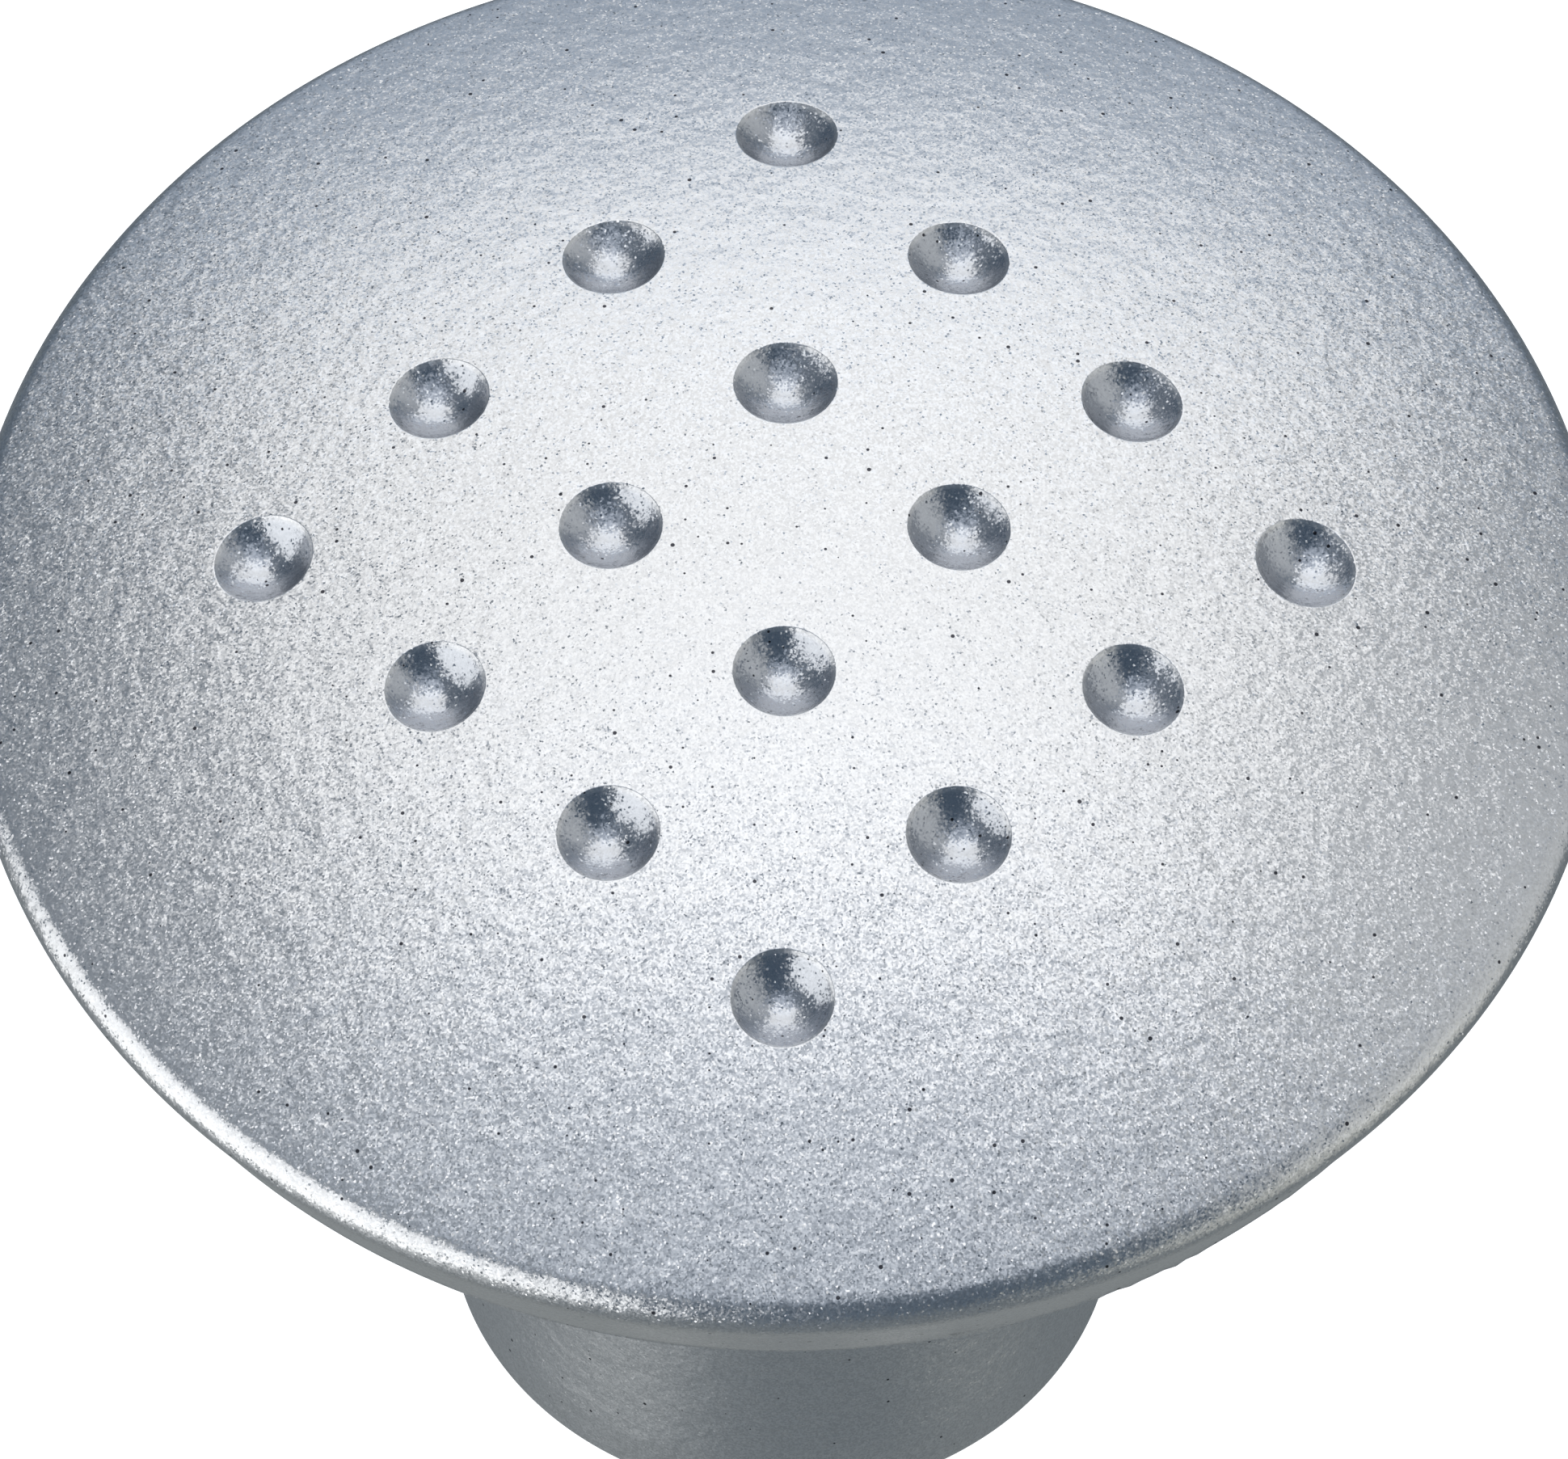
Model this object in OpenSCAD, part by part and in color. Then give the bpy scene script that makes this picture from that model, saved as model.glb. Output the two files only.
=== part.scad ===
// Furniture knob: a one-piece zinc die casting with a dimpled, domed head,
// held to a drawer front by an M4 machine screw and a plain washer.
//
// Frame: the origin is the centre of the foot's mounting face, and +Z runs
// along the knob's axis towards the head. The drawer front fills the gap
// between z = 0 and the washer, and the screw comes through it from behind.

/* [Head] */
// Height from the mounting face to the crown of the dome
knob_h = 25; // [24:0.5:32]
// Largest diameter of the head
head_d = 32; // [30:0.5:38]
// Radius of the domed top
dome_r = 38.8; // [36:0.2:60]
// Radius of the round between the dome and the side wall
edge_r = 0.63; // [0.4:0.01:1]
// Height of the side wall, from the widest line down to the sharp lower edge
wall_h = 2.2; // [1.6:0.1:3]
// Angle by which the side wall leans in
wall_lean = 24.5; // [10:0.5:30]
// Angle by which the head's underside rises from the stem to its lower edge
under_rise = 9; // [4:1:14]

/* [Dimples] */
// Dimples along each side of the square grid
dimple_rows = 4; // [2:1:4]
// Distance between neighbouring dimples
dimple_pitch = 4.75; // [3.5:0.05:4.9]
// Diameter of a dimple's mouth
dimple_d = 2; // [1.2:0.1:2.6]
// Depth of a dimple
dimple_depth = 0.55; // [0.3:0.05:0.8]
// Angle of the grid about the knob's axis
grid_turn = 45; // [0:5:90]

/* [Stem and foot] */
// Diameter of the foot
foot_d = 13.4; // [13:0.1:16]
// Diameter of the stem where the hollow under the head begins
stem_top_d = 12.2; // [11:0.1:13]
// Chamfer round the foot
foot_chamfer = 0.3; // [0.1:0.05:0.6]
// Radius of the hollow sweep between the stem and the underside
sweep_r = 5; // [2:0.5:6]
// Diameter of the screw boss inside the foot
boss_d = 7.6; // [7:0.1:8.4]
// Thickness of the foot's outer wall
foot_wall = 1.4; // [1.2:0.1:1.8]
// Depth of the cored ring between the boss and the outer wall
core_depth = 6; // [2:0.5:8]
// Depth of the boss below the mounting face, so that the outer wall seats first
boss_sink = 0.3; // [0.1:0.1:0.6]

/* [Screw and washer] */
// Nominal diameter of the screw's thread
thread_d = 4; // [3:0.5:4]
// Length of the screw under its head
screw_len = 25; // [24:1:27]
// Diameter of the screw's head
screw_head_d = 8; // [7:0.5:8.5]
// Height of the screw's head
screw_head_h = 2.9; // [2.4:0.1:3.4]
// Depth of the tapped hole
tap_depth = 13; // [12:0.5:14]
// Radial gap between the screw and the walls of the tapped hole
thread_gap = 0.05; // [0.02:0.01:0.1]
// Outside diameter of the washer
washer_d = 9; // [8.5:0.5:12]
// Thickness of the washer
washer_t = 0.8; // [0.5:0.1:1.2]
// Hole through the washer
washer_hole_d = 4.3; // [4.2:0.1:5]

/* [Drawer front] */
// Thickness of the board that the knob is fastened to
board_t = 18; // [16:0.5:20]

/* [Hidden] */

smooth = 128;
dimple_smooth = 48;
cut = 1;

// Head: centres of the dome and of the edge round, and where they touch.
// The edge round lies inside the dome and touches it, so the two centres
// and the point of contact are on one line.
dome_z = knob_h - dome_r;
edge_x = head_d / 2 - edge_r;
edge_z = dome_z + sqrt(pow(dome_r - edge_r, 2) - pow(edge_x, 2));
touch_turn = asin(edge_x / (dome_r - edge_r));
touch_x = dome_r * sin(touch_turn);
touch_z = dome_z + dome_r * cos(touch_turn);

// Side wall, from where the edge round ends down to the sharp lower edge
wall_x = edge_x + edge_r * cos(wall_lean);
wall_z = edge_z - edge_r * sin(wall_lean);
lip_z = edge_z - wall_h;
lip_x = wall_x - (wall_z - lip_z) * tan(wall_lean);

// Stem: its side leans in upwards, and the underside rises outwards. The
// hollow sweep is an arc that touches both.
stem_lean = atan((foot_d - stem_top_d) / 2 / (lip_z - sweep_r - foot_chamfer));
function stem_x(z) = foot_d / 2 - (z - foot_chamfer) * tan(stem_lean);
function under_z(x) = lip_z - (lip_x - x) * tan(under_rise);
// Centre of the sweep: sweep_r away from the stem's side and from the underside
sweep_k = tan(under_rise) * tan(stem_lean);
sweep_x0 = stem_x(0) + sweep_r / cos(stem_lean);
sweep_z0 = under_z(0) - sweep_r / cos(under_rise);
sweep_x = (sweep_x0 - sweep_z0 * tan(stem_lean)) / (1 + sweep_k);
sweep_z = sweep_z0 + sweep_x * tan(under_rise);
sweep_from = 180 + stem_lean;
sweep_to = 90 + under_rise;
sweep_steps = 16;

// Screw and washer, below the board
washer_z = -board_t - washer_t;
tip_chamfer = 0.5;
head_band = 0.5;
recess_w = 1.1;
recess_len = 4.4;
recess_depth = 1.9;
drill_tip = 118;

// Dimples: balls of one size, each sunk along the dome's own normal
ball_r = (pow(dimple_d / 2, 2) + pow(dimple_depth, 2)) / (2 * dimple_depth);
// Height of the ball's centre over the dome's centre, with the mouth on the dome
mouth_h = sqrt(pow(dome_r, 2) - pow(dimple_d / 2, 2));
ball_h = mouth_h + sqrt(pow(ball_r, 2) - pow(dimple_d / 2, 2));

function arc(x, z, r, from, to, n) =
    [for (i = [0:n]) let (a = from + (to - from) * i / n) [x + r * cos(a), z + r * sin(a)]];

// Half outline of the casting: the part under the dome's arc, the edge round, and the rest
module casting_outline() {
    intersection() {
        translate([0, dome_z])
            circle(r = dome_r, $fn = 4 * smooth);
        polygon([
            [0, lip_z],
            [edge_x, edge_z],
            [touch_x, touch_z] + ([touch_x, touch_z] - [edge_x, edge_z]),
            [0, knob_h + cut]
        ]);
    }
    translate([edge_x, edge_z])
        circle(r = edge_r, $fn = smooth);
    polygon(concat(
        [[0, 0], [foot_d / 2 - foot_chamfer, 0], [foot_d / 2, foot_chamfer]],
        arc(sweep_x, sweep_z, sweep_r, sweep_from, sweep_to, sweep_steps),
        [[lip_x, lip_z], [wall_x, wall_z], [edge_x, edge_z], [0, lip_z]]
    ));
}

module dimples() {
    middle = (dimple_rows - 1) / 2;
    for (i = [0:dimple_rows - 1], j = [0:dimple_rows - 1]) {
        x = (i - middle) * dimple_pitch;
        y = (j - middle) * dimple_pitch;
        rotate([0, 0, grid_turn + atan2(y, x)])
            translate([0, 0, dome_z])
                rotate([0, asin(norm([x, y]) / dome_r), 0])
                    translate([0, 0, ball_h])
                        sphere(r = ball_r, $fn = dimple_smooth);
    }
}

// Tapped hole, as a plain hole at the thread's outer diameter, with a drill point
module tapped_hole() {
    hole_r = thread_d / 2 + thread_gap;
    point_h = hole_r / tan(drill_tip / 2);
    translate([0, 0, -cut])
        cylinder(r = hole_r, h = tap_depth + cut, $fn = smooth);
    translate([0, 0, tap_depth])
        cylinder(r1 = hole_r, r2 = 0, h = point_h, $fn = smooth);
}

// Ring cored out of the foot, so that the casting has even walls round the boss
module cored_ring() {
    translate([0, 0, -cut])
        difference() {
            cylinder(r = foot_d / 2 - foot_wall, h = core_depth + cut, $fn = smooth);
            translate([0, 0, boss_sink + cut])
                cylinder(r = boss_d / 2, h = core_depth + cut, $fn = smooth);
        }
}

module knob_body() {
    color([0.72, 0.74, 0.78])
        difference() {
            rotate_extrude($fn = smooth)
                casting_outline();
            dimples();
            tapped_hole();
            cored_ring();
        }
}

module washer() {
    color([0.78, 0.78, 0.76])
        translate([0, 0, washer_z])
            difference() {
                cylinder(d = washer_d, h = washer_t, $fn = smooth);
                translate([0, 0, -cut])
                    cylinder(d = washer_hole_d, h = washer_t + 2 * cut, $fn = smooth);
            }
}

// Pan head with a cross recess, and a plain shank at the thread's outer diameter
module mounting_screw() {
    crown_h = screw_head_h - head_band;
    crown_r = (pow(screw_head_d / 2, 2) + pow(crown_h, 2)) / (2 * crown_h);
    head_z = washer_z - screw_head_h;
    color([0.82, 0.81, 0.76])
        difference() {
            union() {
                translate([0, 0, washer_z - head_band])
                    cylinder(d = screw_head_d, h = head_band, $fn = smooth);
                intersection() {
                    translate([0, 0, head_z + crown_r])
                        sphere(r = crown_r, $fn = smooth);
                    translate([0, 0, head_z - cut])
                        cylinder(d = screw_head_d + cut, h = crown_h + cut, $fn = smooth);
                }
                translate([0, 0, washer_z - head_band])
                    cylinder(d = thread_d, h = screw_len + head_band - tip_chamfer, $fn = smooth);
                translate([0, 0, washer_z + screw_len - tip_chamfer])
                    cylinder(d1 = thread_d, d2 = thread_d - 2 * tip_chamfer,
                             h = tip_chamfer, $fn = smooth);
            }
            for (turn = [0, 90])
                rotate([0, 0, turn])
                    translate([-recess_len / 2, -recess_w / 2, head_z - cut])
                        cube([recess_len, recess_w, recess_depth + cut]);
        }
}

knob_body();
washer();
mounting_screw();
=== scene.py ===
"""The looks of a dimpled furniture knob: a painted casting, its screw and its washer.

Lengths in this script are millimetres until mesh_object turns them into metres.
"""

import math
import random

import bmesh
import bpy
from mathutils import Matrix, Quaternion, Vector
from mathutils.geometry import delaunay_2d_cdt


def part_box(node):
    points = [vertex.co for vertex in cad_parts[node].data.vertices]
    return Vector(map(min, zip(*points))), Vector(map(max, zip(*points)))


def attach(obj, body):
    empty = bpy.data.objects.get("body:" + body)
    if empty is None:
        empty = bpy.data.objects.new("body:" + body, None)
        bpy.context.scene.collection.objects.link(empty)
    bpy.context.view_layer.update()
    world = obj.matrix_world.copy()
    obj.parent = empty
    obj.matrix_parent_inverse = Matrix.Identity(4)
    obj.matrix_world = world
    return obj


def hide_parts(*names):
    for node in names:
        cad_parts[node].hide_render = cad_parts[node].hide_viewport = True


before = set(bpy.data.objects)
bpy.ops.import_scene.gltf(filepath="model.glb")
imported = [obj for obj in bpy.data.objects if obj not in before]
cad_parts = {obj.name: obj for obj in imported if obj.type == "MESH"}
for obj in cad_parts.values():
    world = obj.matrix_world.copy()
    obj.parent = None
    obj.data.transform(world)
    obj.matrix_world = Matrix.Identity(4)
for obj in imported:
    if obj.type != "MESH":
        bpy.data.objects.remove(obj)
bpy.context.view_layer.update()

MM = 0.001
TURN = 2 * math.pi


# ---------------------------------------------------------------- sizes

def box_mm(node):
    """The lowest and highest corners of a CAD node, in millimetres."""
    low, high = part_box(node)
    return low / MM, high / MM


BODY_HIGH = box_mm("knob_body")[1]
WASHER_LOW, WASHER_HIGH = box_mm("washer")
SCREW_LOW, SCREW_HIGH = box_mm("mounting_screw")

# The casting
KNOB_H = BODY_HIGH.z
HEAD_R = BODY_HIGH.x
DOME_R = 38.8
EDGE_R = 0.63
WALL_H = 2.2
WALL_LEAN = math.radians(24.5)
UNDER_RISE = math.radians(9)
FOOT_R = 6.7
STEM_TOP_R = 6.1
FOOT_CHAMFER = 0.3
SWEEP_R = 5.0
BOSS_R = 3.8
FOOT_WALL = 1.4
CORE_DEPTH = 6.0
BOSS_SINK = 0.3
TAP_R = 2.05
TAP_DEPTH = 13.0
TAP_MOUTH = 0.25
DRILL_HALF_ANGLE = math.radians(59)

# The dimples
DIMPLE_ROWS = 4
DIMPLE_PITCH = 4.75
DIMPLE_R = 1.0
DIMPLE_DEPTH = 0.55
DIMPLE_EDGE_R = 0.035
GRID_TURN = math.radians(45)
# The round patch of the dome that is meshed with its dimple
COLLAR_R = 1.35

# The screw and the washer
THREAD_R = 2.0
THREAD_PITCH = 0.7
THREAD_ROOT_R = 1.57
SHANK_R = 1.74
SHANK_LEN = 0.25
TIP_CHAMFER = 0.5
SCREW_HEAD_R = (SCREW_HIGH.x - SCREW_LOW.x) / 2
WASHER_R = (WASHER_HIGH.x - WASHER_LOW.x) / 2
WASHER_HOLE_R = 2.15
# How far the screw and the washer go down from rest when the screw is turned out
TRAVEL_DOWN = 4.9

# A pit in the stem's side
PIT_AT = Vector((2.99, -5.88, 4.76))
PIT_R = 0.08

# How finely the meshes are divided
HEAD_STEPS = 384
DIMPLE_STEPS = 72
SCREW_STEPS = 64
WASHER_STEPS = 128
DOME_GRID = 0.26

# Worked out as in the casting's design: the edge round lies inside the dome and touches it
DOME_Z = KNOB_H - DOME_R
EDGE_X = HEAD_R - EDGE_R
EDGE_Z = DOME_Z + math.sqrt((DOME_R - EDGE_R) ** 2 - EDGE_X ** 2)
TOUCH_TURN = math.asin(EDGE_X / (DOME_R - EDGE_R))
TOUCH_X = DOME_R * math.sin(TOUCH_TURN)
WALL_X = EDGE_X + EDGE_R * math.cos(WALL_LEAN)
WALL_Z = EDGE_Z - EDGE_R * math.sin(WALL_LEAN)
LIP_Z = EDGE_Z - WALL_H
LIP_X = WALL_X - (WALL_Z - LIP_Z) * math.tan(WALL_LEAN)


# ---------------------------------------------------------------- mesh building

def arc(x, z, r, start, end, steps):
    """Points on an arc in the half plane, from one angle to another."""
    return [
        (x + r * math.cos(a), z + r * math.sin(a))
        for a in (start + (end - start) * i / steps for i in range(steps + 1))
    ]


def line(a, b, steps):
    """Points from a to b, without b."""
    return [
        (a[0] + (b[0] - a[0]) * i / steps, a[1] + (b[1] - a[1]) * i / steps)
        for i in range(steps)
    ]


def revolve(outline, steps, change=None):
    """Vertices and faces of an outline of (radius, height) turned about Z.

    The outline runs so that the solid is on its left. A radius of 0 is one shared vertex.
    change(turn, radius, height, index) may return another radius and height.
    """
    verts, faces, rows = [], [], []
    for k, (r, z) in enumerate(outline):
        if r == 0:
            rows.append([len(verts)] * steps)
            verts.append((0.0, 0.0, z))
            continue
        rows.append(list(range(len(verts), len(verts) + steps)))
        for i in range(steps):
            turn = TURN * i / steps
            rr, zz = change(turn, r, z, k) if change else (r, z)
            verts.append((rr * math.cos(turn), rr * math.sin(turn), zz))
    for low, high in zip(rows, rows[1:]):
        for i in range(steps):
            j = (i + 1) % steps
            face = [low[i], low[j], high[j], high[i]]
            face = [v for n, v in enumerate(face) if v != face[n - 1]]
            if len(face) > 2:
                faces.append(face)
    return verts, faces


def mesh_object(name, parts, sharp_deg):
    """One object from several (vertices, faces) in millimetres that meet at shared points.

    Edges that turn by more than sharp_deg stay sharp.
    """
    mesh = bpy.data.meshes.new(name)
    verts, faces = [], []
    for part_verts, part_faces in parts:
        first = len(verts)
        verts += [(x * MM, y * MM, z * MM) for x, y, z in part_verts]
        faces += [[first + v for v in face] for face in part_faces]
    mesh.from_pydata(verts, [], faces)
    bm = bmesh.new()
    bm.from_mesh(mesh)
    bmesh.ops.remove_doubles(bm, verts=bm.verts, dist=0.0005 * MM)
    bmesh.ops.dissolve_degenerate(bm, edges=bm.edges, dist=0.0002 * MM)
    bmesh.ops.recalc_face_normals(bm, faces=bm.faces)
    bm.to_mesh(mesh)
    bm.free()
    mesh.shade_smooth()
    mesh.set_sharp_from_angle(angle=math.radians(sharp_deg))
    obj = bpy.data.objects.new(name, mesh)
    bpy.context.scene.collection.objects.link(obj)
    return obj


# ---------------------------------------------------------------- the casting

def dimple_frames():
    """For each dimple: the rotation from +Z to its axis."""
    middle = (DIMPLE_ROWS - 1) / 2
    for i in range(DIMPLE_ROWS):
        for j in range(DIMPLE_ROWS):
            x, y = (i - middle) * DIMPLE_PITCH, (j - middle) * DIMPLE_PITCH
            lean = math.asin(math.hypot(x, y) / DOME_R)
            yield (
                Matrix.Rotation(GRID_TURN + math.atan2(y, x), 3, "Z")
                @ Matrix.Rotation(lean, 3, "Y")
            )


def dimple_outline(mouth_r, depth):
    """Half outline of a dimple from its collar on the dome to its lowest point.

    Heights are over the dome's centre. The dimple is a parabola, and its mouth's edge is a
    small round that starts on the dome and ends along the parabola's side.
    """
    low = math.sqrt(DOME_R ** 2 - mouth_r ** 2) - depth
    steep = math.atan(2 * depth / mouth_r)
    edge_x = mouth_r + DIMPLE_EDGE_R * math.tan(steep / 2)
    edge_h = math.sqrt((DOME_R - DIMPLE_EDGE_R) ** 2 - edge_x ** 2)
    collar_rings, edge_rings, bowl_rings, crowding = 6, 6, 18, 0.7
    points = []
    for i in range(collar_rings):
        x = COLLAR_R + (edge_x - COLLAR_R) * (i / collar_rings) ** crowding
        points.append((x, math.sqrt(DOME_R ** 2 - x ** 2)))
    points += arc(edge_x, edge_h, DIMPLE_EDGE_R, math.pi / 2, math.pi / 2 + steep, edge_rings)
    side_x = points[-1][0]
    for i in range(1, bowl_rings + 1):
        x = side_x * (1 - i / bowl_rings)
        points.append((x, low + depth * (x / mouth_r) ** 2))
    return points


def dimples(turns):
    """The dimples with their collars, as (vertices, faces). Each is a little out of true."""
    chance = random.Random(7)
    uneven_r, uneven_depth, wave_high = 0.015, 0.05, 0.006
    parts = []
    for turn in turns:
        mouth_r = DIMPLE_R * chance.uniform(1 - uneven_r, 1 + uneven_r)
        depth = DIMPLE_DEPTH * chance.uniform(1 - uneven_depth, 1 + uneven_depth)
        waves = [(n, chance.uniform(0, TURN), wave_high / n) for n in (2, 3, 5)]

        def uneven(angle, r, h, k, waves=waves):
            if r == COLLAR_R:
                return r, h
            share = min(1.0, (COLLAR_R - r) / (COLLAR_R - DIMPLE_R))
            r *= 1 + share * sum(a * math.sin(n * angle + p) for n, p, a in waves)
            return r, h

        verts, faces = revolve(dimple_outline(mouth_r, depth), DIMPLE_STEPS, uneven)
        placed = [turn @ Vector(v) + Vector((0, 0, DOME_Z)) for v in verts]
        parts.append(([tuple(v) for v in placed], faces))
    return parts


def dimpled_dome():
    """The dome out to the edge round, with its dimples, as (vertices, faces) parts.

    Between the collars it is an even grid of triangles, joined in plan and lifted on to the dome.
    """
    turns = list(dimple_frames())
    axes = [turn @ Vector((0, 0, 1)) for turn in turns]
    collar_turn = math.asin(COLLAR_R / DOME_R)
    parts = dimples(turns)
    flat, edges = [], []

    def ring(points):
        first = len(flat)
        flat.extend(points)
        count = len(points)
        edges.extend((first + i, first + (i + 1) % count) for i in range(count))

    ring([
        Vector((TOUCH_X * math.cos(TURN * i / HEAD_STEPS),
                TOUCH_X * math.sin(TURN * i / HEAD_STEPS)))
        for i in range(HEAD_STEPS)
    ])
    for verts, _ in parts:
        ring([Vector(v[:2]) for v in verts[:DIMPLE_STEPS]])

    def on_dome(x, y):
        return Vector((x, y, math.sqrt(DOME_R ** 2 - x * x - y * y)))

    def in_collar(x, y, room=0.0):
        p = on_dome(x, y) / DOME_R
        limit = math.cos(collar_turn + room / DOME_R)
        return any(p.dot(a) > limit for a in axes)

    row_h = DOME_GRID * math.sqrt(3) / 2
    rows = int(TOUCH_X / row_h)
    grid_r, collar_room = TOUCH_X - 0.7 * DOME_GRID, 0.12
    for j in range(-rows, rows + 1):
        for i in range(-rows, rows + 1):
            x, y = (i + 0.5 * (j % 2)) * DOME_GRID, j * row_h
            if math.hypot(x, y) < grid_r and not in_collar(x, y, collar_room):
                flat.append(Vector((x, y)))
    all_triangles, same_point = 0, 1e-7
    points, _, faces, *_ = delaunay_2d_cdt(flat, edges, [], all_triangles, same_point)
    kept = []
    for face in faces:
        middle = sum((points[v] for v in face), Vector((0, 0))) / len(face)
        if not in_collar(middle.x, middle.y):
            kept.append(list(face))
    verts = [tuple(on_dome(p.x, p.y) + Vector((0, 0, DOME_Z))) for p in points]
    return parts + [(verts, kept)]


# The flash on the casting's lower edge: its least width, and the places where it stands out more
FLASH_LEAST = 0.012
FLASH_BUMPS = (
    # turn about Z and half width in radians, height in millimetres
    (4.96, 0.05, 0.16),
    (5.2, 0.2, 0.05),
    (2.1, 0.12, 0.07),
    (0.8, 0.3, 0.03),
)
FLASH_H = 0.05


def flash(turn):
    """How far the casting's flash stands out of the lower edge at this turn."""
    coarse = 0.5 + 0.5 * math.sin(turn * 61 + 2.2 * math.sin(turn * 23))
    fine = 0.5 + 0.5 * math.sin(turn * 173 + 1.3 * math.sin(turn * 47))
    total = FLASH_LEAST
    for centre, width, high in FLASH_BUMPS:
        away = (turn - centre + math.pi) % TURN - math.pi
        total += high * math.exp(-(away / width) ** 2) * (0.35 + coarse * fine)
    return total


def lower_casting():
    """The casting below the dome: edge round, side wall, underside, stem, foot and tapped hole."""
    # the edge round, the side wall and the lower edge with its flash
    outline = arc(EDGE_X, EDGE_Z, EDGE_R, -WALL_LEAN, math.pi / 2 - TOUCH_TURN, 12)[::-1]
    outline += line((WALL_X, WALL_Z), (LIP_X, LIP_Z), 6)[1:]
    flash_at = len(outline)
    outline += [(LIP_X, LIP_Z + FLASH_H), (LIP_X, LIP_Z)]

    # the underside and the stem, with the hollow sweep between them
    stem_lean = math.atan((FOOT_R - STEM_TOP_R) / (LIP_Z - SWEEP_R - FOOT_CHAMFER))
    low_x = FOOT_R + FOOT_CHAMFER * math.tan(stem_lean)
    start_x = low_x + SWEEP_R / math.cos(stem_lean)
    start_z = LIP_Z - LIP_X * math.tan(UNDER_RISE) - SWEEP_R / math.cos(UNDER_RISE)
    slopes = math.tan(UNDER_RISE) * math.tan(stem_lean)
    sweep_x = (start_x - start_z * math.tan(stem_lean)) / (1 + slopes)
    sweep_z = start_z + sweep_x * math.tan(UNDER_RISE)
    sweep = arc(sweep_x, sweep_z, SWEEP_R, math.pi / 2 + UNDER_RISE, math.pi + stem_lean, 24)
    inwards = 0.03
    outline += line((LIP_X - inwards, LIP_Z - inwards * math.tan(UNDER_RISE)), sweep[0], 6)
    outline += sweep
    outline += line(sweep[-1], (FOOT_R, FOOT_CHAMFER), 8)[1:]

    # the foot's round edge, the cored ring with its draft, the boss and the tapped hole
    foot_edge_x = FOOT_R - FOOT_CHAMFER
    outline += arc(foot_edge_x, FOOT_CHAMFER, FOOT_CHAMFER, -math.pi / 2, 0, 5)[::-1]
    core_r, soft, draft = FOOT_R - FOOT_WALL, 0.08, 0.05
    outline += arc(core_r + soft, soft, soft, -math.pi / 2, -math.pi, 3)
    outline += [(core_r - draft, CORE_DEPTH), (BOSS_R + draft, CORE_DEPTH)]
    outline += arc(BOSS_R - soft, BOSS_SINK + soft, soft, 0, -math.pi / 2, 3)
    outline += [(TAP_R + TAP_MOUTH, BOSS_SINK), (TAP_R, BOSS_SINK + TAP_MOUTH), (TAP_R, TAP_DEPTH)]
    outline += [(0, TAP_DEPTH + TAP_R / math.tan(DRILL_HALF_ANGLE))]

    def with_flash(turn, r, z, k):
        return (r + flash(turn), z) if k in (flash_at, flash_at + 1) else (r, z)

    return revolve(outline, HEAD_STEPS, with_flash)


def knob_body():
    obj = mesh_object("painted_casting", dimpled_dome() + [lower_casting()], 32)
    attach(obj, "knob")
    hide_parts("knob_body")
    return obj


# ---------------------------------------------------------------- the screw and washer

def thread(low, high, low_r, high_r):
    """A right-hand thread about Z between two heights, with its two ends drawn in to rings."""
    crest, root = THREAD_PITCH / 8, THREAD_PITCH / 4
    flank = (THREAD_PITCH - crest - root) / 2
    section = [
        (0, THREAD_ROOT_R), (root, THREAD_ROOT_R),
        (root + flank, THREAD_R), (root + flank + crest, THREAD_R)
    ]
    turns = math.ceil((high - low) / THREAD_PITCH) + 2
    fade_h = 1.5 * THREAD_PITCH

    def point(step, offset, r):
        turn = step / SCREW_STEPS
        z = low - THREAD_PITCH + turn * THREAD_PITCH + offset
        if z <= low:
            z, r = low, low_r
        elif z >= high:
            z, r = high, high_r
        else:
            # the thread fades into the shank, and the tip's chamfer cuts its last turns
            r = low_r + (r - low_r) * min(1.0, (z - low) / fade_h)
            r = min(r, high_r + (high - z))
        return (r * math.cos(TURN * turn), r * math.sin(TURN * turn), z)

    count, width = turns * SCREW_STEPS, len(section)
    verts = [point(s, z, r) for s in range(count + 1) for z, r in section]
    # the section's last point joins the first point of the section a turn further on
    verts += [point(s + SCREW_STEPS, 0, THREAD_ROOT_R) for s in range(count + 1)]
    faces = []
    for s in range(count):
        for k in range(width):
            a = s * width + k
            b = a + width
            if k + 1 < width:
                faces.append([a, b, b + 1, a + 1])
            else:
                c = (count + 1) * width + s
                faces.append([a, b, c + 1, c])
    return verts, faces


def disc(r, z, steps):
    """A flat cap."""
    turns = [TURN * i / steps for i in range(steps)]
    verts = [(r * math.cos(turn), r * math.sin(turn), z) for turn in turns] + [(0, 0, z)]
    return verts, [[i, (i + 1) % steps, steps] for i in range(steps)]


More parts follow.
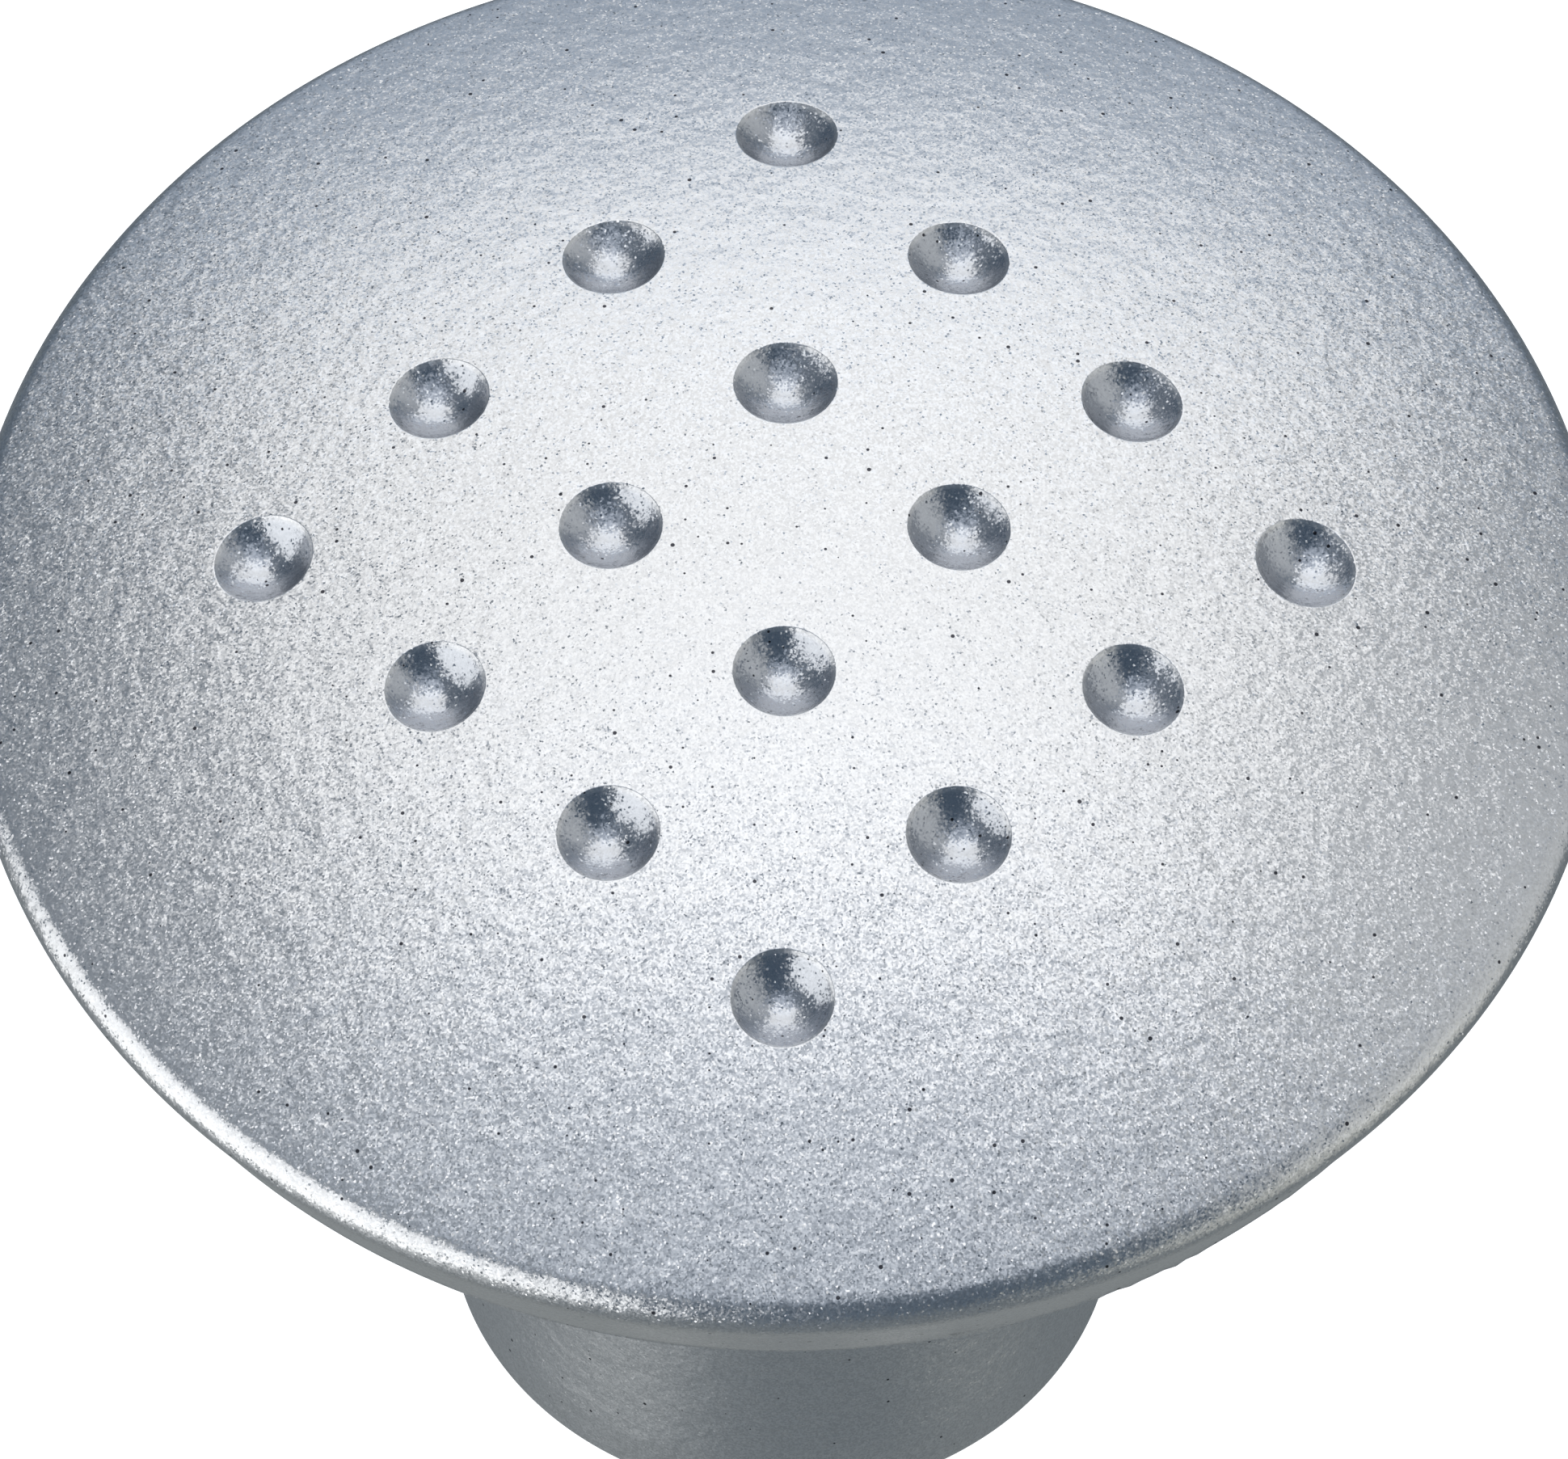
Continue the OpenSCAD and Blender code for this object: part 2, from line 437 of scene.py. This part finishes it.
def cross_cutter(low_z):
    """The solid that sinks a tapered cross recess into the screw's head from below."""
    # height, half length and half width of each arm, at its mouth below the head and at its floor
    ends = ((low_z - 1, 2.45, 0.575), (low_z + 1.9, 0.924, 0.31))
    bm = bmesh.new()
    for turn in (0, math.pi / 2):
        about_z = Matrix.Rotation(turn, 3, "Z")
        rings = []
        for z, length, width in ends:
            corners = [(-length, -width), (length, -width), (length, width), (-length, width)]
            rings.append([bm.verts.new(about_z @ Vector((x, y, z)) * MM) for x, y in corners])
        for i in range(4):
            j = (i + 1) % 4
            bm.faces.new([rings[0][i], rings[0][j], rings[1][j], rings[1][i]])
        bm.faces.new(rings[0][::-1])
        bm.faces.new(rings[1])
    bmesh.ops.recalc_face_normals(bm, faces=bm.faces)
    mesh = bpy.data.meshes.new("cross_cutter")
    bm.to_mesh(mesh)
    bm.free()
    obj = bpy.data.objects.new("cross_cutter", mesh)
    bpy.context.scene.collection.objects.link(obj)
    return obj


def screw_head():
    """The pan head with its cross recess, up to the start of the thread, as (vertices, faces)."""
    low, seat = SCREW_LOW.z, WASHER_LOW.z
    corner_r, rim_r, crown_h = 0.9, 0.1, 0.45
    crown_x = SCREW_HEAD_R - corner_r
    crown_r = (crown_x ** 2 + crown_h ** 2) / (2 * crown_h)
    spread, down = math.asin(crown_x / crown_r), -math.pi / 2
    outline = [(0, low)]
    outline += arc(0, low + crown_r, crown_r, down + spread / 8, down + spread, 7)
    outline += arc(crown_x, low + crown_h + corner_r, corner_r, down + spread, 0, 8)
    outline += arc(SCREW_HEAD_R - rim_r, seat - rim_r, rim_r, 0, math.pi / 2, 3)
    # a small hollow round where the shank meets the head
    outline += [(SHANK_R + SHANK_LEN, seat), (SHANK_R + 0.1, seat + 0.05)]
    outline += [(SHANK_R, seat + SHANK_LEN)]
    head = mesh_object("screw_head", [revolve(outline, SCREW_STEPS)], 40)
    cutter = cross_cutter(low)
    cut = head.modifiers.new("cross", "BOOLEAN")
    cut.operation, cut.object, cut.solver, cut.use_self = "DIFFERENCE", cutter, "EXACT", True
    bpy.context.view_layer.update()
    evaluated = head.evaluated_get(bpy.context.evaluated_depsgraph_get())
    mesh = bpy.data.meshes.new_from_object(evaluated)
    verts = [tuple(v.co / MM) for v in mesh.vertices]
    faces = [list(p.vertices) for p in mesh.polygons]
    bpy.data.objects.remove(head)
    bpy.data.objects.remove(cutter)
    return verts, faces


def mounting_screw():
    tip, tip_r = SCREW_HIGH.z, THREAD_R - TIP_CHAMFER
    obj = mesh_object("threaded_screw", [
        screw_head(),
        thread(WASHER_LOW.z + SHANK_LEN, tip, SHANK_R, tip_r),
        disc(tip_r, tip, SCREW_STEPS),
    ], 24)
    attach(obj, "screw")
    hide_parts("mounting_screw")
    return obj


def washer():
    """A stamped washer: one face has soft edges, and the other has sharp ones."""
    low, high, soft, sharp = WASHER_LOW.z, WASHER_HIGH.z, 0.12, 0.02
    outline = [(WASHER_HOLE_R + sharp, low), (WASHER_R - sharp, low), (WASHER_R, low + sharp)]
    outline += arc(WASHER_R - soft, high - soft, soft, 0, math.pi / 2, 5)
    outline += arc(WASHER_HOLE_R + soft, high - soft, soft, math.pi / 2, math.pi, 5)
    outline += [(WASHER_HOLE_R, low + sharp), (WASHER_HOLE_R + sharp, low)]
    obj = mesh_object("plain_washer", [revolve(outline, WASHER_STEPS)], 40)
    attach(obj, "washer")
    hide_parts("washer")
    return obj


# ---------------------------------------------------------------- materials

def per_mm(size):
    """The texture scale whose cells or waves are this many millimetres wide."""
    return 1 / (size * MM)


class Nodes:
    """Short ways to make and join the nodes of one tree."""

    def __init__(self, tree):
        self.tree = tree
        self.tree.nodes.clear()

    def add(self, kind, inputs=None, **settings):
        node = self.tree.nodes.new(kind)
        for key, value in settings.items():
            setattr(node, key, value)
        for key, value in (inputs or {}).items():
            if isinstance(value, bpy.types.NodeSocket):
                self.tree.links.new(value, node.inputs[key])
            else:
                node.inputs[key].default_value = value
        return node

    def maths(self, operation, a, b):
        return self.add("ShaderNodeMath", {0: a, 1: b}, operation=operation).outputs[0]

    def vector(self, operation, a, b=(0, 0, 0)):
        return self.add("ShaderNodeVectorMath", {0: a, 1: b}, operation=operation).outputs[0]

    def scaled(self, a, share):
        return self.add(
            "ShaderNodeVectorMath", {0: a, "Scale": share}, operation="SCALE").outputs[0]

    def length(self, a):
        return self.add("ShaderNodeVectorMath", {0: a}, operation="LENGTH").outputs["Value"]

    def noise(self, place, wave_mm, detail):
        return self.add("ShaderNodeTexNoise", {
            "Vector": place, "Scale": per_mm(wave_mm), "Detail": detail}).outputs[0]

    def cells(self, place, cell_mm):
        return self.add("ShaderNodeTexVoronoi", {"Vector": place, "Scale": per_mm(cell_mm)})

    def bump(self, height, high_mm, below=None):
        inputs = {"Height": height, "Strength": 1.0, "Distance": high_mm * MM}
        if below is not None:
            inputs["Normal"] = below
        return self.add("ShaderNodeBump", inputs).outputs[0]

    def spread(self, value, low, high, to_low=0.0, to_high=1.0):
        """The value eased from one range into another."""
        return self.add(
            "ShaderNodeMapRange",
            {"Value": value, "From Min": low, "From Max": high, "To Min": to_low, "To Max": to_high},
            interpolation_type="SMOOTHSTEP",
        ).outputs["Result"]

    def mix(self, share, a, b):
        node = self.add("ShaderNodeMix", data_type="RGBA")
        for socket, value in ((node.inputs[0], share), (node.inputs[6], a), (node.inputs[7], b)):
            if isinstance(value, bpy.types.NodeSocket):
                self.tree.links.new(value, socket)
            else:
                socket.default_value = value
        return node.outputs[2]


def material(name):
    """A new material, and the Nodes and object coordinates to build it with."""
    mat = bpy.data.materials.new(name)
    mat.use_nodes = True
    n = Nodes(mat.node_tree)
    return mat, n, n.add("ShaderNodeTexCoord").outputs["Object"]


# Where the paint's flakes stop lying flat, going up the stem
FLAT_BELOW, STANDING_ABOVE = 15, 20
# A dimple is what lies this far under the dome, above this height
DIMPLE_FROM, DIMPLE_FULL, DIMPLES_ABOVE = 0.02, 0.12, KNOB_H - 2.6

DARK_SILVER, PALE_SILVER = (0.62, 0.62, 0.625, 1), (0.78, 0.78, 0.785, 1)
# A darker, bluer silver that is painted into the dimples as painted shade
DIMPLE_PAINTED_SHADE = (0.50, 0.52, 0.56, 1)
SPECK_COLOUR = (0.06, 0.06, 0.07, 1)
BLUE_ZINC, YELLOW_ZINC = (0.66, 0.68, 0.72, 1), (0.78, 0.76, 0.68, 1)


def silver_paint():
    """Satin silver paint: flakes that each tilt their own way, orange peel, dark specks, and painted
    shade in the dimples.
    """
    mat, n, place = material("silver_paint")
    height = n.add("ShaderNodeSeparateXYZ", {"Vector": place}).outputs["Z"]

    peel = n.bump(n.noise(place, 0.85, 2.0), 0.030)
    grain = n.bump(n.noise(place, 0.28, 3.0), 0.017, peel)

    # Most flakes lie nearly flat, and a few stand up and glint or look dark. On the stem they
    # lie flatter, so that it shines more evenly than the head
    flake = n.cells(place, 0.038).outputs["Color"]
    chance = n.add("ShaderNodeTexWhiteNoise", {"Vector": flake}).outputs["Value"]
    reach = n.spread(n.maths("POWER", chance, 5.0), 0.0, 1.0, 0.15, 0.62)
    upright = n.spread(height, FLAT_BELOW * MM, STANDING_ABOVE * MM, 0.4, 1.0)
    tilt = n.vector("SUBTRACT", flake, (0.5, 0.5, 0.5))
    tilt = n.scaled(tilt, n.maths("MULTIPLY", reach, upright))
    normal = n.vector("NORMALIZE", n.vector("ADD", grain, tilt))

    # One cell in a few holds a speck that is big enough to see
    specks = n.cells(place, 0.27)
    chosen = n.add("ShaderNodeSeparateColor", {"Color": specks.outputs["Color"]}).outputs[0]
    size = n.maths("MULTIPLY", n.maths("POWER", chosen, 3.0), 0.16)
    is_speck = n.maths("LESS_THAN", specks.outputs["Distance"], size)

    # The pit in the stem's side is twice as high as it is wide
    from_pit = n.vector("MULTIPLY", n.vector("SUBTRACT", place, PIT_AT * MM), (1, 1, 0.5))
    is_pit = n.maths("LESS_THAN", n.length(from_pit), PIT_R * MM)
    is_dark = n.maths("MAXIMUM", is_speck, is_pit)

    # The paint lies smoother in the dimples, and the same mask darkens them with painted shade
    out_r = n.length(n.vector("SUBTRACT", place, (0, 0, DOME_Z * MM)))
    under_dome = n.spread(
        out_r, (DOME_R - DIMPLE_FULL) * MM, (DOME_R - DIMPLE_FROM) * MM, 1.0, 0.0)
    in_dimple = n.maths("MULTIPLY", under_dome, n.maths("GREATER_THAN", height, DIMPLES_ABOVE * MM))
    rough = n.spread(in_dimple, 0.0, 1.0, 0.31, 0.24)

    shade = n.add("ShaderNodeSeparateColor", {"Color": flake}).outputs[1]
    silver = n.mix(n.spread(shade, 0.0, 1.0), DARK_SILVER, PALE_SILVER)
    # Painted shade: in the dimples the silver is mixed towards a darker, bluer silver
    silver = n.mix(n.maths("MULTIPLY", in_dimple, 0.7), silver, DIMPLE_PAINTED_SHADE)
    colour = n.mix(is_dark, silver, SPECK_COLOUR)
    shader = n.add("ShaderNodeBsdfPrincipled", {
        "Base Color": colour, "Metallic": 0.95, "Roughness": rough, "Normal": normal})
    n.add("ShaderNodeOutputMaterial", {"Surface": shader.outputs[0]})
    return mat


def zinc_plate():
    """Bright zinc plate on steel: a little blue and yellow in its sheen, with a fine grain."""
    mat, n, place = material("zinc_plate")
    cloud, fine = n.noise(place, 2.4, 3.0), n.noise(place, 0.12, 2.0)
    colour = n.mix(n.spread(cloud, 0.35, 0.65), BLUE_ZINC, YELLOW_ZINC)
    rough = n.spread(fine, 0.3, 0.7, 0.24, 0.4)
    shader = n.add("ShaderNodeBsdfPrincipled", {
        "Base Color": colour, "Metallic": 1.0, "Roughness": rough, "Normal": n.bump(fine, 0.002)})
    n.add("ShaderNodeOutputMaterial", {"Surface": shader.outputs[0]})
    return mat


# ---------------------------------------------------------------- the studio

CAMERA_AWAY = 450 * MM
CAMERA_UP = math.radians(55.83)
CAMERA_NOD = math.radians(-0.51)
CAMERA_ROLL = math.radians(0.26)
CAMERA_LENS = 536.2
CAMERA_SENSOR = 36


def camera():
    """A long lens that looks down at the crown, with the crown above the picture's middle."""
    crown = Vector((0, 0, KNOB_H * MM))
    away = Vector((0, -math.cos(CAMERA_UP), math.sin(CAMERA_UP)))
    up = Vector((0, math.sin(CAMERA_UP), math.cos(CAMERA_UP)))
    right = Vector((1, 0, 0))
    ahead = -away * math.cos(CAMERA_NOD) + up * math.sin(CAMERA_NOD)
    up = right.cross(ahead)
    right, up = (
        right * math.cos(CAMERA_ROLL) + up * math.sin(CAMERA_ROLL),
        up * math.cos(CAMERA_ROLL) - right * math.sin(CAMERA_ROLL),
    )
    turn = Matrix((right, up, -ahead)).transposed().to_4x4()
    data = bpy.data.cameras.new("camera")
    data.lens, data.sensor_width, data.sensor_fit = CAMERA_LENS, CAMERA_SENSOR, "HORIZONTAL"
    data.clip_start, data.clip_end = 0.01, 50
    obj = bpy.data.objects.new("camera", data)
    obj.matrix_world = Matrix.Translation(crown + away * CAMERA_AWAY) @ turn
    bpy.context.scene.collection.objects.link(obj)
    bpy.context.scene.camera = obj


def direction(azimuth_deg, elevation_deg):
    """A unit vector: azimuth 0 is +X and 90 is +Y."""
    a, e = math.radians(azimuth_deg), math.radians(elevation_deg)
    return Vector((math.cos(e) * math.cos(a), math.cos(e) * math.sin(a), math.sin(e)))


def soft_light(name, azimuth, elevation, wide_deg, high_deg, radiance, roll_deg, colour):
    """A rectangular light a metre away, as wide and high as these angles."""
    away = 1.0
    width, height = (2 * away * math.tan(math.radians(a / 2)) for a in (wide_deg, high_deg))
    data = bpy.data.lights.new(name, "AREA")
    data.shape, data.size, data.size_y = "RECTANGLE", width, height
    data.energy = radiance * math.pi * width * height
    data.color = colour
    obj = bpy.data.objects.new(name, data)
    where = direction(azimuth, elevation)
    obj.location = where * away
    roll = Quaternion((0, 0, 1), math.radians(roll_deg))
    obj.rotation_euler = (where.to_track_quat("Z", "Y") @ roll).to_euler()
    bpy.context.scene.collection.objects.link(obj)


# The room's own light: one colour all round, and soft patches of more light
ROOM_COLOUR = (0.055, 0.09, 0.135)
ROOM_PATCHES = (
    # azimuth, elevation, inner and outer angle in degrees, colour
    (90, -90, 50, 95, (0.105, 0.097, 0.072)),
    (90, -88, 15, 36, (0.10, 0.095, 0.08)),
    (0, 17, 15, 48, (0.58, 0.57, 0.54)),
    (333, -18, 14, 34, (0.38, 0.37, 0.32)),
    (215, -25, 12, 38, (0.32, 0.32, 0.31)),
    (89, 64, 20, 60, (0.26, 0.26, 0.26)),
    (270, 87, 8, 38, (0.40, 0.43, 0.48)),
    (88, 14, 15, 42, (0.26, 0.30, 0.36)),
)


def surroundings():
    """The world: the room's colour and its patches, blended by direction."""
    world = bpy.data.worlds.new("room")
    bpy.context.scene.world = world
    world.use_nodes = True
    n = Nodes(world.node_tree)
    way = n.add("ShaderNodeTexCoord").outputs["Generated"]
    total = ROOM_COLOUR
    for azimuth, elevation, inner, outer, colour in ROOM_PATCHES:
        towards = n.add(
            "ShaderNodeVectorMath", {0: way, 1: direction(azimuth, elevation)},
            operation="DOT_PRODUCT").outputs["Value"]
        share = n.spread(towards, math.cos(math.radians(outer)), math.cos(math.radians(inner)))
        total = n.vector("ADD", total, n.scaled(colour, share))
    back = n.add("ShaderNodeBackground", {"Color": total, "Strength": 1.0})
    n.add("ShaderNodeOutputWorld", {"Surface": back.outputs[0]})


def studio_floor():
    """A pale floor that rises into a round wall and a roof. The metal doesn't mirror it.

    It lies just under the screw at its lowest, and is clear when seen from below.
    """
    floor_z = SCREW_LOW.z - TRAVEL_DOWN - 0.1
    middle_r, floor_r, rise_r, wall_h, roof_h = 20, 3000, 1500, 5000, 6500
    outline = [(0, floor_z)] + line((middle_r, floor_z), (floor_r, floor_z), 12)
    outline += arc(floor_r, floor_z + rise_r, rise_r, -math.pi / 2, 0, 12)
    outline += [(floor_r + rise_r, wall_h), (0, roof_h)]
    obj = mesh_object("studio_floor", [revolve(outline, 64)], 60)
    mat = bpy.data.materials.new("pale_floor")
    mat.use_nodes = True
    n = Nodes(mat.node_tree)
    shader = n.add("ShaderNodeBsdfPrincipled", {
        "Base Color": (0.9, 0.9, 0.9, 1), "Roughness": 0.9,
        "Emission Color": (1, 1, 1, 1), "Emission Strength": 0.75})
    inside = n.add("ShaderNodeNewGeometry").outputs["Backfacing"]
    clear = n.add("ShaderNodeBsdfTransparent").outputs[0]
    one_way = n.add("ShaderNodeMixShader", {0: inside, 1: clear, 2: shader.outputs[0]})
    n.add("ShaderNodeOutputMaterial", {"Surface": one_way.outputs[0]})
    obj.data.materials.append(mat)
    obj.visible_glossy = False
    obj.visible_diffuse = False
    obj.visible_shadow = False


def studio():
    """Everything that isn't the knob: the room, its floor, two soft lights and the camera."""
    bpy.context.scene.view_settings.view_transform = "Standard"
    surroundings()
    studio_floor()
    soft_light("overhead", 89, 57, 58, 58, 0.91, 0, (1.0, 0.97, 0.92))
    soft_light("left_window", 210, 7, 86, 64, 1.35, 15, (1.0, 1.0, 0.99))
    camera()


body = knob_body()
screw = mounting_screw()
ring = washer()
paint, plate = silver_paint(), zinc_plate()
body.data.materials.append(paint)
for piece in (screw, ring):
    piece.data.materials.append(plate)
studio()
